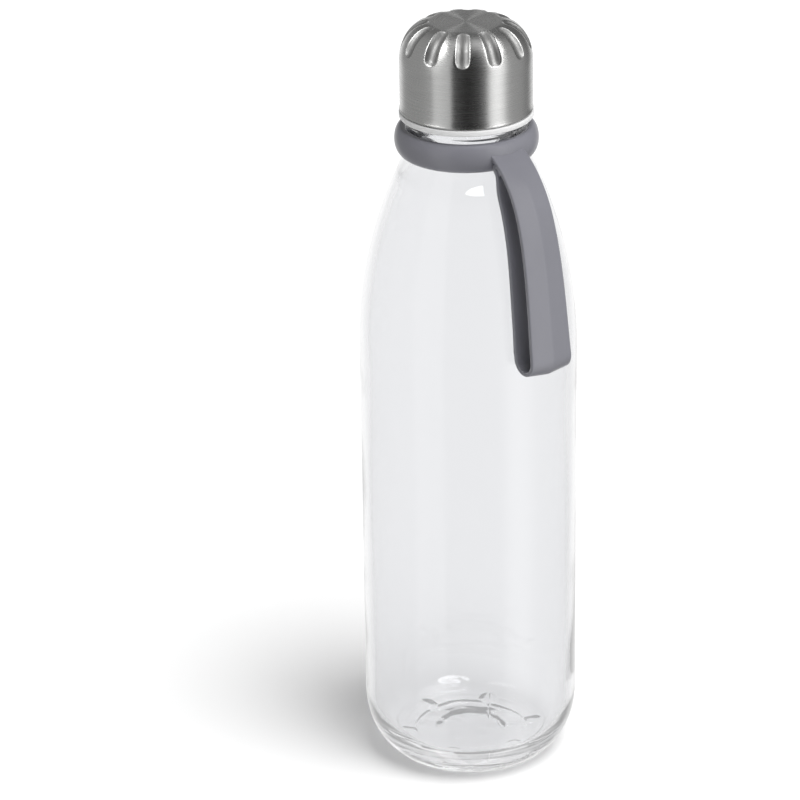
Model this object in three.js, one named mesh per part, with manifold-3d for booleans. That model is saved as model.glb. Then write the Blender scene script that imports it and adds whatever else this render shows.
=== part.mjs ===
// A glass water bottle, taken apart as it would be on a bench:
//   glass_bottle  blown glass body with a two-start screw finish and a support bead
//   cap_shell     drawn stainless steel cap with twelve pressed flutes
//   cap_insert    threaded polypropylene liner pressed into the shell, its rim showing below the steel
//   cap_gasket    flat silicone sealing ring between the liner and the bottle's lip
//   neck_ring     silicone ring stretched round the neck
//   strap_loop    silicone carry loop that flexes on the neck ring
// Millimetres, +Z up. The origin is the centre of the foot, on the bottle's axis.
import * as THREE from "three";
import { mergeVertices } from "three/addons/utils/BufferGeometryUtils.js";
import Module from "manifold-3d";

const wasm = await Module();
wasm.setup();

const degrees = THREE.MathUtils.degToRad;

// ---- Driving dimensions ----
const CLEARANCE = 0.3; // between neighbouring pieces
const ROUND_STEPS = 48; // facets round the bottle's axis

// Glass body
const BODY_RADIUS = 36;
const WALL = 2.6;
const FLOOR_THICKNESS = 5;
const FOOT_WIDTH = 3.2; // flat width of the ring that the bottle stands on
const PUSH_UP = 2; // how far the underside is domed up inside the foot
const HEEL_RADIAL = 13.5;
const HEEL_HEIGHT = 21;
const FOOT_NOTCHES = 6;
const NOTCH_RADIUS = 5;
const NOTCH_DEPTH = 1.1;
const NOTCH_TURN = degrees(-97);
const SIDE_TOP_Z = 148.6; // where the straight side meets the shoulder
const SHOULDER_RISE = 66.4;
const SHOULDER_LEDGE = 1.9; // the shoulder's top edge stands this far outside the neck
const NECK_RADIUS = 18.6;
const NECK_STEP = 1; // height of the small step from shoulder to neck

// Glass finish
const BEAD_PROUD = 1.4; // support bead, outside the neck
const BEAD_HEIGHT = 3.9;
const BEAD_ROUND = 0.8;
const FINISH_INSET = 1.2; // the threaded finish is this much slimmer than the neck
const FINISH_WALL = 2.6;
const FINISH_HEIGHT = 12.6;

// Screw thread, right handed, shared by the finish and the liner
const THREAD_STARTS = 2;
const THREAD_LEAD = 9;
const THREAD_ROUND = 1.1; // radius of the rounded ridge
const THREAD_DEPTH = 1.4; // how far a ridge stands out
const THREAD_MARGIN = 2.8; // plain glass above and below the thread
const THREAD_FADE = 0.2; // share of a ridge's length that fades, at each end
const LINER_THREAD_RISE = 5;

// Cap
const LINER_WALL = 1.55;
const SHELL_WALL = 0.5;
const CAP_HEADROOM = 15.3; // from the liner's plate to the top of the cap
const CROWN_EDGE = 10.35; // width of the rounded edge round the cap's flat top
const CROWN_DROP = 12.4; // height of that rounded edge
const HEM_HEIGHT = 0.9;
const HEM_PROUD = 0.2;
const FLUTES = 12;
const FLUTE_RADIUS = 3.2;
const FLUTE_DEPTH_INNER = 0.75;
const FLUTE_DEPTH_OUTER = 1.15;
const FLUTE_FROM = degrees(4); // along the rounded edge, from its top
const FLUTE_TO = degrees(74);
const FLUTE_TURN = degrees(-83.5);
const RIM_HEIGHT = 2;
const RIM_PROUD = 0.35; // the liner's rim stands this far outside the steel
const RIM_ROUND = 0.5;
const PLATE_THICKNESS = 1.6;
const BOSS_RADIUS = 8;
const BOSS_WALL = 1.5;
const RIBS = 6;
const RIB_THICKNESS = 1.2;
const RIB_HEIGHT = 6;
const GASKET_THICKNESS = 1.6;
const GASKET_WIDTH = 3.6;

// Silicone ring and carry loop
const RING_HEIGHT = 9.1;
const RING_WALL = 4.5;
const RING_BULGE = 2.5; // how far the ring's outside stands beyond its edges
const BEAD_SEAT = 1.3; // depth of the recess that takes the glass bead
const STRAP_TURN = degrees(-45);
const STRAP_THICKNESS = 1.5;
const STRAP_RIDGE = 0.9; // height of the middle ridge on the outside of the loop
const RIDGE_RUN = 12; // distance from the pivot over which the ridge rises
const ROOT_WIDTH = 12.4;
const LOOP_WIDTH = 16;
const LOOP_LENGTH = 60; // from the pivot down to the centre of the lower bend
const LOOP_BEND = 4.4; // radius of the lower bend, at mid thickness
const LOOP_LEAN = degrees(8); // the outer strand's slope from upright, at the bend
const KNEE_IN = 8.8; // where the outer strand turns down, from the top of the lower bend
const KNEE_DOWN = 13.9; // and from the pivot
const KNEE_SLOPE = degrees(-70);
const ROOT_SLOPE = degrees(-30);
const ROOT_REACH = 5; // how far the root and the knee hold their own direction
const PIVOT_OUT = 1.6; // pivot's distance outside the ring
const PIVOT_UP = 1.9; // pivot's height above the ring's lower edge
const PIVOT_RADIUS = 2.7;

// ---- Heights and radii that follow from them ----
const shoulderTopZ = SIDE_TOP_Z + SHOULDER_RISE;
const shoulderIn = BODY_RADIUS - NECK_RADIUS - SHOULDER_LEDGE;
const shoulderArc = (shoulderIn ** 2 + SHOULDER_RISE ** 2) / (2 * shoulderIn);
const neckZ = shoulderTopZ + NECK_STEP;
const ringBottomZ = neckZ + CLEARANCE;
const ringTopZ = ringBottomZ + RING_HEIGHT;
const ringRadius = NECK_RADIUS + CLEARANCE + RING_WALL;
const beadRadius = NECK_RADIUS + BEAD_PROUD;
const beadBottomZ = ringTopZ - BEAD_SEAT + CLEARANCE;
const beadTopZ = beadBottomZ + BEAD_HEIGHT;
const finishRadius = NECK_RADIUS - FINISH_INSET;
const boreRadius = finishRadius - FINISH_WALL;
const lipZ = beadTopZ + FINISH_HEIGHT;
const threadRise = FINISH_HEIGHT - 2 * THREAD_MARGIN;
const threadZ = beadTopZ + THREAD_MARGIN;
const linerBore = finishRadius + THREAD_DEPTH + CLEARANCE;
const linerRadius = linerBore + LINER_WALL;
const shellRadius = linerRadius + CLEARANCE + SHELL_WALL;
const crownRadius = shellRadius - CROWN_EDGE;
const rimBottomZ = beadTopZ + CLEARANCE;
const rimTopZ = rimBottomZ + RIM_HEIGHT;
const shellBottomZ = rimTopZ + CLEARANCE;
const gasketZ = lipZ + CLEARANCE;
const plateBottomZ = gasketZ + GASKET_THICKNESS + CLEARANCE;
const plateTopZ = plateBottomZ + PLATE_THICKNESS;
const apexZ = plateTopZ + CAP_HEADROOM;
const pivotX = ringRadius + PIVOT_OUT;
const pivotZ = ringBottomZ + PIVOT_UP;

// ---- Helpers ----
const point = (r, z) => new THREE.Vector2(r, z);
const direction = (angle) => point(Math.cos(angle), Math.sin(angle));

// Points of an elliptical arc round (r, z), from angle a to angle b in degrees, 0 pointing outwards.
function arc(r, z, radial, height, a, b, steps) {
  const curve = new THREE.EllipseCurve(r, z, radial, height, degrees(a), degrees(b), b < a, 0);
  return curve.getPoints(steps);
}

// A closed geometry as a solid that can be joined and cut.
function solid(geometry) {
  const bare = geometry.clone();
  bare.deleteAttribute("normal");
  bare.deleteAttribute("uv");
  const merged = mergeVertices(bare, 1e-4);
  const mesh = new wasm.Mesh({
    numProp: 3,
    vertProperties: merged.attributes.position.array,
    triVerts: new Uint32Array(merged.index.array),
  });
  return new wasm.Manifold(mesh);
}

function geometryOf(made) {
  const mesh = made.getMesh();
  return new THREE.BufferGeometry()
    .setAttribute("position", new THREE.BufferAttribute(mesh.vertProperties, 3))
    .setIndex(new THREE.BufferAttribute(mesh.triVerts, 1))
    .toNonIndexed();
}

// A turned solid about +Z. Its profile starts and ends on the axis and has the solid on its left.
function turned(profile) {
  return solid(new THREE.LatheGeometry(profile, ROUND_STEPS).rotateX(Math.PI / 2));
}

// The same, for a ring whose profile closes on itself clear of the axis.
function turnedRing(profile) {
  return turned([...profile, profile[0].clone()]);
}

// A round bar along a curve.
function bar(path, radius, sides, steps) {
  const corners = Array.from({ length: sides }, (_, i) =>
    direction((2 * Math.PI * i) / sides).multiplyScalar(radius),
  );
  return solid(
    new THREE.ExtrudeGeometry(new THREE.Shape(corners), { steps, extrudePath: path }),
  );
}

// A number of copies of a solid, turned evenly about +Z and joined.
function around(made, count, firstTurn) {
  const copies = Array.from({ length: count }, (_, i) =>
    made.rotate([0, 0, THREE.MathUtils.radToDeg(firstTurn) + (360 * i) / count]),
  );
  return copies.reduce((joined, copy) => joined.add(copy));
}

// ---- Screw thread ----
// A helix whose ends sink away from its radius, so that the ridge fades in and out.
class ThreadPath extends THREE.Curve {
  constructor(radius, sink, bottomZ, rise) {
    super();
    Object.assign(this, { radius, sink, bottomZ, rise });
  }

  getPoint(t, target = new THREE.Vector3()) {
    const fade = Math.max(0, Math.abs(2 * t - 1) - 1 + 2 * THREAD_FADE) / (2 * THREAD_FADE);
    const r = this.radius + this.sink * fade;
    const angle = (2 * Math.PI * this.rise * t) / THREAD_LEAD;
    return target.set(r * Math.cos(angle), r * Math.sin(angle), this.bottomZ + this.rise * t);
  }
}

function thread(radius, sink, bottomZ, rise) {
  const steps = Math.ceil((24 * rise) / THREAD_LEAD);
  const ridge = bar(new ThreadPath(radius, sink, bottomZ, rise), THREAD_ROUND, 7, steps);
  return around(ridge, THREAD_STARTS, 0);
}

// ---- Glass body ----
// Radius of the shoulder at a height, or of a surface inset from it.
function shoulderRadius(z, inset = 0) {
  const rise = Math.max(0, z - SIDE_TOP_Z);
  return BODY_RADIUS - shoulderArc + Math.sqrt((shoulderArc - inset) ** 2 - rise ** 2);
}

function shoulder(fromZ, toZ, inset, steps) {
  return Array.from({ length: steps + 1 }, (_, i) => {
    const z = fromZ + ((toZ - fromZ) * i) / steps;
    return point(shoulderRadius(z, inset), z);
  });
}

function footNotches(footRadius) {
  const grooveZ = NOTCH_DEPTH - NOTCH_RADIUS;
  const line = new THREE.LineCurve3(
    new THREE.Vector3(footRadius / 2, 0, grooveZ),
    new THREE.Vector3(BODY_RADIUS, 0, grooveZ),
  );
  return around(bar(line, NOTCH_RADIUS, 16, 1), FOOT_NOTCHES, NOTCH_TURN);
}

function glassBottle() {
  const footRadius = BODY_RADIUS - HEEL_RADIAL;
  const lipRound = FINISH_WALL / 2;
  const innerHeel = HEEL_RADIAL - WALL / 2;
  const innerHeelX = BODY_RADIUS - WALL - innerHeel;
  const innerTopZ = shoulderTopZ - WALL;
  const pushUp = new THREE.QuadraticBezierCurve(
    point(0, PUSH_UP),
    point(footRadius / 2, PUSH_UP),
    point(footRadius - FOOT_WIDTH, 0),
  );
  const throat = new THREE.QuadraticBezierCurve(
    point(boreRadius, neckZ + WALL),
    point(boreRadius, innerTopZ + WALL / 2),
    point(shoulderRadius(innerTopZ, WALL), innerTopZ),
  );
  const beadX = beadRadius - BEAD_ROUND;
  const body = turned([
    ...pushUp.getPoints(3),
    ...arc(footRadius, HEEL_HEIGHT, HEEL_RADIAL, HEEL_HEIGHT, -90, 0, 7),
    ...shoulder(SIDE_TOP_Z, shoulderTopZ, 0, 8),
    point(NECK_RADIUS, neckZ),
    point(NECK_RADIUS, beadBottomZ),
    ...arc(beadX, beadBottomZ + BEAD_ROUND, BEAD_ROUND, BEAD_ROUND, -90, 0, 2),
    ...arc(beadX, beadTopZ - BEAD_ROUND, BEAD_ROUND, BEAD_ROUND, 0, 90, 2),
    point(finishRadius, beadTopZ),
    ...arc(boreRadius + lipRound, lipZ - lipRound, lipRound, lipRound, 0, 180, 4),
    ...throat.getPoints(3),
    ...shoulder(SIDE_TOP_Z, innerTopZ, WALL, 6).reverse().slice(1),
    ...arc(innerHeelX, HEEL_HEIGHT, innerHeel, HEEL_HEIGHT - FLOOR_THICKNESS, 0, -90, 4),
    point(0, FLOOR_THICKNESS),
  ]);
  const crest = finishRadius + THREAD_DEPTH;
  const ridge = thread(crest - THREAD_ROUND, -THREAD_DEPTH - 0.1, threadZ, threadRise);
  return geometryOf(body.add(ridge).subtract(footNotches(footRadius)));
}

// ---- Cap ----
// The line of a flute along the cap's rounded edge. It dips into the steel between its two ends.
class FlutePath extends THREE.Curve {
  getPoint(t, target = new THREE.Vector3()) {
    const angle = THREE.MathUtils.lerp(FLUTE_FROM, FLUTE_TO, t);
    const full = THREE.MathUtils.lerp(FLUTE_DEPTH_INNER, FLUTE_DEPTH_OUTER, t);
    const depth = full * (1 - (2 * t - 1) ** 6);
    const outwards = point(Math.sin(angle) / CROWN_EDGE, Math.cos(angle) / CROWN_DROP)
      .normalize()
      .multiplyScalar(FLUTE_RADIUS - depth);
    const r = crownRadius + CROWN_EDGE * Math.sin(angle) + outwards.x;
    const z = apexZ - CROWN_DROP * (1 - Math.cos(angle)) + outwards.y;
    return target.set(r, 0, z);
  }
}

// The cap's outer form, or one inset from it, with a flat bottom.
function capForm(inset, bottomZ) {
  const edgeZ = apexZ - CROWN_DROP;
  const form = turned([
    point(0, bottomZ),
    point(shellRadius - inset, bottomZ),
    ...arc(crownRadius, edgeZ, CROWN_EDGE - inset, CROWN_DROP - inset, 0, 90, 7),
    point(0, apexZ - inset),
  ]);
  const flute = bar(new FlutePath(), FLUTE_RADIUS + inset, 14, 6);
  return form.subtract(around(flute, FLUTES, FLUTE_TURN));
}

function capShell() {
  const hem = turnedRing([
    point(shellRadius - SHELL_WALL, shellBottomZ),
    point(shellRadius + HEM_PROUD, shellBottomZ),
    point(shellRadius + HEM_PROUD, shellBottomZ + HEM_HEIGHT / 2),
    point(shellRadius, shellBottomZ + HEM_HEIGHT),
    point(shellRadius - SHELL_WALL, shellBottomZ + HEM_HEIGHT),
  ]);
  const hollow = capForm(SHELL_WALL, rimTopZ);
  return geometryOf(capForm(0, shellBottomZ).subtract(hollow).add(hem));
}

// Boss and ribs above the liner's plate, trimmed to the inside of the shell.
function linerStiffening() {
  const sunkZ = plateTopZ - PLATE_THICKNESS / 2;
  const boss = turnedRing([
    point(BOSS_RADIUS - BOSS_WALL, sunkZ),
    point(BOSS_RADIUS, sunkZ),
    point(BOSS_RADIUS, apexZ),
    point(BOSS_RADIUS - BOSS_WALL, apexZ),
  ]);
  const ribX = BOSS_RADIUS - BOSS_WALL / 2;
  const ribTopZ = plateTopZ + RIB_HEIGHT;
  const rib = new THREE.BoxGeometry(linerRadius - ribX, RIB_THICKNESS, ribTopZ - sunkZ);
  rib.translate((linerRadius + ribX) / 2, 0, (ribTopZ + sunkZ) / 2);
  return boss
    .add(around(solid(rib), RIBS, 0))
    .intersect(capForm(SHELL_WALL + CLEARANCE, rimTopZ));
}

function capInsert() {
  const rimX = shellRadius + RIM_PROUD - RIM_ROUND;
  const cup = turned([
    point(0, plateBottomZ),
    point(linerBore, plateBottomZ),
    point(linerBore, rimBottomZ),
    ...arc(rimX, rimBottomZ + RIM_ROUND, RIM_ROUND, RIM_ROUND, -90, 0, 2),
    ...arc(rimX, rimTopZ - RIM_ROUND, RIM_ROUND, RIM_ROUND, 0, 90, 2),
    point(linerRadius, rimTopZ),
    point(linerRadius, plateTopZ),
    point(0, plateTopZ),
  ]);
  // The liner's ridges run midway between those of the glass.
  const halfPitch = THREAD_LEAD / THREAD_STARTS / 2;
  const ridgeX = linerBore - THREAD_DEPTH + THREAD_ROUND;
  const ridge = thread(ridgeX, THREAD_DEPTH, threadZ + halfPitch, LINER_THREAD_RISE);
  const buried = turned([
    point(0, rimTopZ),
    point(linerBore + LINER_WALL / 2, rimTopZ),
    point(linerBore + LINER_WALL / 2, plateBottomZ),
    point(0, plateBottomZ),
  ]);
  return geometryOf(cup.add(linerStiffening()).add(ridge.intersect(buried)));
}

function capGasket() {
  const outer = linerBore - CLEARANCE;
  const inner = outer - GASKET_WIDTH;
  const topZ = gasketZ + GASKET_THICKNESS;
  const section = [
    point(inner, gasketZ),
    point(outer, gasketZ),
    point(outer, topZ),
    point(inner, topZ),
  ];
  return geometryOf(turnedRing(section));
}

// ---- Silicone ring and carry loop, both drawn with the loop towards +X ----
// A round bar along the pivot's line.
function pivotBar(radius, width) {
  const end = new THREE.Vector3(pivotX, width / 2, pivotZ);
  const start = new THREE.Vector3(pivotX, -width / 2, pivotZ);
  return bar(new THREE.LineCurve3(start, end), radius, 20, 1);
}

function neckRing() {
  const inner = NECK_RADIUS + CLEARANCE;
  const seat = beadRadius + CLEARANCE;
  const middleZ = (ringBottomZ + ringTopZ) / 2;
  const ring = turnedRing([
    point(inner, ringBottomZ),
    ...arc(ringRadius - RING_BULGE, middleZ, RING_BULGE, RING_HEIGHT / 2, -90, 90, 8),
    point(seat, ringTopZ),
    point(seat, ringTopZ - BEAD_SEAT),
    point(inner, ringTopZ - BEAD_SEAT),
  ]);
  const socket = pivotBar(PIVOT_RADIUS + CLEARANCE, ROOT_WIDTH + 2 * CLEARANCE);
  return geometryOf(ring.subtract(socket));
}

// Where two lines cross, each given by a point and a direction.
function crossing(p, along, q, other) {
  const reach = q.clone().sub(p).cross(other) / along.cross(other);
  return p.clone().addScaledVector(along, reach);
}

// The loop's middle line in its own plane: down the outer strand, round the bend, up the glass.
function loopLine() {
  const glassGap = CLEARANCE + STRAP_THICKNESS / 2;
  const pivot = point(pivotX, pivotZ);
  const rootWay = direction(ROOT_SLOPE);
  const kneeWay = direction(KNEE_SLOPE);
  const root = pivot
    .clone()
    .addScaledVector(point(-rootWay.y, rootWay.x), PIVOT_RADIUS - STRAP_THICKNESS / 2);
  const bendZ = pivotZ - LOOP_LENGTH;
  const bendX = BODY_RADIUS + glassGap + LOOP_BEND;
  const bend = new THREE.EllipseCurve(
    bendX, bendZ, LOOP_BEND, LOOP_BEND, LOOP_LEAN, -Math.PI, true, 0,
  );
  const bendStart = bend.getPoint(0);
  const knee = point(bendStart.x - KNEE_IN, pivotZ - KNEE_DOWN);
  const bendWay = direction(LOOP_LEAN - Math.PI / 2);
  const overRing = new THREE.CubicBezierCurve(
    root,
    root.clone().addScaledVector(rootWay, ROOT_REACH),
    knee.clone().addScaledVector(kneeWay, -ROOT_REACH),
    knee,
  );
  const outerStrand = new THREE.QuadraticBezierCurve(
    knee, crossing(knee, kneeWay, bendStart, bendWay), bendStart,
  );
  const leaveZ = pivotZ - 4 * PIVOT_RADIUS;
  const glassSide = shoulder(bendZ, leaveZ, 0, 9).map((p) => point(p.x + glassGap, p.y));
  return [
    ...overRing.getPoints(6),
    ...outerStrand.getPoints(4).slice(1),
    ...bend.getPoints(7).slice(1),
    ...glassSide.slice(1),
    point(pivotX - PIVOT_RADIUS / 5, pivotZ - PIVOT_RADIUS / 2),
  ];
}

// A closed skin over rings of corners, with a flat cap at each end.
function skin(rings) {
  const sides = rings[0].length;
  const corner = (i, j) => i * sides + (j % sides);
  const faces = [];
  for (let i = 0; i + 1 < rings.length; i++) {
    for (let j = 0; j < sides; j++) {
      faces.push(corner(i, j), corner(i, j + 1), corner(i + 1, j));
      faces.push(corner(i, j + 1), corner(i + 1, j + 1), corner(i + 1, j));
    }
  }
  const last = rings.length - 1;
  for (let j = 1; j + 1 < sides; j++) {
    faces.push(corner(0, 0), corner(0, j + 1), corner(0, j));
    faces.push(corner(last, 0), corner(last, j), corner(last, j + 1));
  }
  return new THREE.BufferGeometry().setFromPoints(rings.flat()).setIndex(faces);
}

function strapLoop() {
  const line = loopLine();
  const bendZ = pivotZ - LOOP_LENGTH;
  const halfThickness = STRAP_THICKNESS / 2;
  const rings = line.map((p, i) => {
    const before = line[Math.max(0, i - 1)];
    const after = line[Math.min(line.length - 1, i + 1)];
    const way = after.clone().sub(before).normalize();
    const outwards = point(-way.y, way.x);
    const down = THREE.MathUtils.clamp((pivotZ - p.y) / LOOP_LENGTH, 0, 1);
    const half = THREE.MathUtils.lerp(ROOT_WIDTH, LOOP_WIDTH, down) / 2;
    // The ridge rises from the root, runs down the outer strand and dies away round the bend.
    const fromRoot = THREE.MathUtils.smoothstep(p.x - pivotX, 0, RIDGE_RUN);
    const aboveBend = p.y > bendZ && outwards.x < 0 ? 0 : 1;
    const roundBend = THREE.MathUtils.smoothstep(outwards.x, -1, 0.2);
    const ridge = STRAP_RIDGE * fromRoot * aboveBend * roundBend;
    const corner = (y, proud) =>
      new THREE.Vector3(p.x + outwards.x * proud, y, p.y + outwards.y * proud);
    return [
      corner(-half, -halfThickness),
      corner(half, -halfThickness),
      corner(half, halfThickness),
      corner(0, halfThickness + ridge),
      corner(-half, halfThickness),
    ];
  });
  return geometryOf(solid(skin(rings)).add(pivotBar(PIVOT_RADIUS, ROOT_WIDTH)));
}

// ---- Assembly ----
function mesh(name, geometry, look) {
  geometry.computeVertexNormals();
  const made = new THREE.Mesh(geometry, new THREE.MeshStandardMaterial(look));
  made.name = name;
  return made;
}

const glass = { color: 0xe9eeee, roughness: 0.03, transparent: true, opacity: 0.35 };
const steel = { color: 0xb4b4b2, roughness: 0.3, metalness: 1 };
const polypropylene = { color: 0xeeeeec, roughness: 0.45 };
const clearSilicone = { color: 0xdddddb, roughness: 0.6 };
const greySilicone = { color: 0x8a8a96, roughness: 0.5 };

const cap = new THREE.Group();
cap.add(
  mesh("cap_shell", capShell(), steel),
  mesh("cap_insert", capInsert(), polypropylene),
  mesh("cap_gasket", capGasket(), clearSilicone),
);

const carrier = new THREE.Group();
carrier.rotation.z = STRAP_TURN;
carrier.add(
  mesh("neck_ring", neckRing(), greySilicone),
  mesh("strap_loop", strapLoop(), greySilicone),
);

const bottle = new THREE.Group();
bottle.add(mesh("glass_bottle", glassBottle(), glass), cap, carrier);

export default bottle;
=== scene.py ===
"""Looks for a glass water bottle with a fluted steel cap and a silicone carry loop.

Every piece is built in metres, in the row frame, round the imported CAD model.
"""
import math  # noqa: E402

import bmesh  # noqa: E402
import bpy  # noqa: E402
import numpy as np  # noqa: E402
from mathutils import Matrix, Vector, noise  # noqa: E402


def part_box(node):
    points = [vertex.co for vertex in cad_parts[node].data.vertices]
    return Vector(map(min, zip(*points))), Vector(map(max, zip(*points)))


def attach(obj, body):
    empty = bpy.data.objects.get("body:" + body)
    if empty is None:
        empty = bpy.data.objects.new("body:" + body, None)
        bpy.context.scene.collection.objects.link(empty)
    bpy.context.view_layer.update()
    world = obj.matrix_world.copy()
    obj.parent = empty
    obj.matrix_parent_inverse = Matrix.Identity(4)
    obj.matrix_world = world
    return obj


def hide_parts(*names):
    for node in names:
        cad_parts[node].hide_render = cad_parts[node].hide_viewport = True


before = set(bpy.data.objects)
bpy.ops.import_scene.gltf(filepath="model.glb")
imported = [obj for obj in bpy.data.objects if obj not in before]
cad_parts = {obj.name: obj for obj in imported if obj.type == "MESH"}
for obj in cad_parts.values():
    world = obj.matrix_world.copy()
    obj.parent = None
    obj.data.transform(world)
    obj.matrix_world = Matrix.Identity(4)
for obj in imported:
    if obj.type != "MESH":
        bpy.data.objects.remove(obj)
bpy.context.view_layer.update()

MM = 0.001

# ---- Sizes in millimetres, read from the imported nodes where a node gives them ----
glass_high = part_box("glass_bottle")[1] / MM
shell_low, shell_high = (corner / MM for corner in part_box("cap_shell"))
insert_low, insert_high = (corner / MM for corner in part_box("cap_insert"))
gasket_low, gasket_high = (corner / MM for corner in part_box("cap_gasket"))
ring_low, ring_high = (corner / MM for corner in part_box("neck_ring"))

CLEARANCE = 0.3  # between neighbouring pieces
BODY_RADIUS = glass_high.x
LIP_Z = glass_high.z
WALL = 2.6
FLOOR_THICKNESS = 5.0
PUSH_UP = 2.0
FOOT_WIDTH = 2.2  # of the ring that the bottle stands on
HEEL_RADIAL = 13.5
HEEL_HEIGHT = 21.0
FOOT_RADIUS = BODY_RADIUS - HEEL_RADIAL
NOTCHES = 6
NOTCH_RADIUS = 5.0
NOTCH_DEPTH = 1.1
NOTCH_TURN = math.radians(-97)
NOTCH_START = 4.4  # a notch deepens from this far inside the foot's edge
NOTCH_FULL = 1.6  # to this far inside it
NOTCH_BLEND = 0.12  # rounds the notch's lips
SIDE_TOP_Z = 148.6
NECK_Z = ring_low.z - CLEARANCE
SHOULDER_TOP_Z = NECK_Z - 1.0
NECK_RADIUS = 18.6
SHOULDER_TOP_RADIUS = NECK_RADIUS + 1.9
BEAD_TOP_Z = insert_low.z - CLEARANCE
BEAD_BOTTOM_Z = ring_high.z - 1.0
BEAD_RADIUS = 20.0
BEAD_ROUND = 1.1
FINISH_RADIUS = 17.4
BORE_RADIUS = 14.8
SEAM_TURN = math.radians(19.5 - 90)  # the two mould seams run down the glass here and opposite

SEAM_HEIGHT = 0.03
SEAM_WIDTH = 0.3
SKIN_RIPPLE = 0.05  # unevenness of the outside, and of the inside by region
NECK_RIPPLE = 0.16
SIDE_RIPPLE = 0.4
FLOOR_RIPPLE = 0.7

THREAD_STARTS = 2
THREAD_LEAD = 9.0
THREAD_ROUND = 1.1
THREAD_DEPTH = 1.4
THREAD_Z = BEAD_TOP_Z + 2.8
THREAD_RISE = LIP_Z - BEAD_TOP_Z - 5.6
THREAD_FADE = 0.2  # share of a ridge's length that fades, at each end
LINER_THREAD_RISE = 5.0

APEX_Z = shell_high.z
SHELL_BOTTOM_Z = shell_low.z
SHELL_WALL = 0.5
HEM_PROUD = 0.2
HEM_HEIGHT = 0.9
SHELL_RADIUS = shell_high.x - HEM_PROUD
CROWN_EDGE = 10.35  # width and height of the rounded edge of the cap's top
CROWN_DROP = 12.4
CROWN_RADIUS = SHELL_RADIUS - CROWN_EDGE
FLUTES = 12
FLUTE_RADIUS = 3.2
FLUTE_DEPTH_INNER = 0.75
FLUTE_DEEPENS = 0.4
FLUTE_BLEND = 0.1
FLUTE_FROM = math.radians(4)
FLUTE_TO = math.radians(74)
FLUTE_TURN = math.radians(-83.5)

RIM_RADIUS = insert_high.x
RIM_BOTTOM_Z = insert_low.z
RIM_TOP_Z = SHELL_BOTTOM_Z - CLEARANCE
LINER_BORE = FINISH_RADIUS + THREAD_DEPTH + CLEARANCE
LINER_RADIUS = LINER_BORE + 1.55
PLATE_BOTTOM_Z = gasket_high.z + CLEARANCE
PLATE_TOP_Z = PLATE_BOTTOM_Z + 1.6
BOSS_RADIUS = 8.0
BOSS_WALL = 1.5
RIBS = 6
RIB_THICKNESS = 1.2
RIB_HEIGHT = 6.6
SEAL_WIDTH = 3.6

RING_RADIUS = ring_high.x
RING_BULGE = 2.5
RING_PARTING = (0.22, 0.07)  # width and depth of the parting line above the loop
STRAP_TURN = math.radians(-45)
PIVOT_R = RING_RADIUS + 1.6
PIVOT_Z = ring_low.z + 1.9
KNUCKLE_RADIUS = 2.1  # both strands of the loop grow from this bar
STRAP_THICKNESS = 1.5
STRAP_RIDGE = 0.9
ROOT_WIDTH = 12.8
LOOP_WIDTH = 15.6
LOOP_LENGTH = 60.0
LOOP_BEND = 4.4
ROOT_FROM_PIVOT = (-1.3, 2.6)  # where the outer strand starts and the inner one ends, in (r, z)
END_FROM_PIVOT = (-1.0, -0.2)
LOOP_LEAN = 8  # degrees that the outer strand leans at the lower bend
ROOT_SLOPE = -30  # directions of the outer strand in degrees, at its root and at its knee
KNEE_SLOPE = -69
KNEE_IN = 8.8  # the knee's place, from the lower bend and from the pivot
KNEE_DOWN = 13.9
ROOT_HOLD = 6.8  # how far each end of a strand keeps its own direction
STRAND_HOLD = 15
LEAVES_GLASS = 9.2  # the inner strand follows the glass up to this far under the pivot
STAND_OFF = 2.4  # and stands this much further out at its top, over the stretch that follows
STAND_OFF_FROM = 48
STAND_OFF_TO = 12


# ---- Mesh helpers ----
def smoothstep(value, low, high):
    share = np.clip((value - low) / (high - low), 0, 1)
    return share * share * (3 - 2 * share)


def arc(r, z, radial, height, start, end, steps):
    """Points of an elliptical arc in the (r, z) plane, angles in degrees."""
    turns = np.radians(np.linspace(start, end, steps + 1))
    return np.column_stack([r + radial * np.cos(turns), z + height * np.sin(turns)])


def line(start, end, steps):
    return np.linspace(start, end, steps + 1)


def bezier(points, steps):
    """A quadratic or cubic curve through its end points."""
    t = np.linspace(0, 1, steps + 1)[:, None]
    rows = [np.asarray(p, float) for p in points]
    while len(rows) > 1:
        rows = [a * (1 - t) + b * t for a, b in zip(rows, rows[1:])]
    return rows[0]


def profile(*runs):
    """One outline from several runs of points, leaving out points that repeat."""
    points = np.vstack(runs)
    step = np.linalg.norm(np.diff(points, axis=0), axis=1)
    return points[np.concatenate([[True], step > 1e-4])]


def new_object(name, vertices, faces):
    """An object in metres from vertices in millimetres."""
    mesh = bpy.data.meshes.new(name)
    mesh.from_pydata((np.asarray(vertices) * MM).tolist(), [], faces)
    mesh.validate()
    mesh.polygons.foreach_set("use_smooth", [True] * len(mesh.polygons))
    made = bpy.data.objects.new(name, mesh)
    bpy.context.scene.collection.objects.link(made)
    return made


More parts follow.
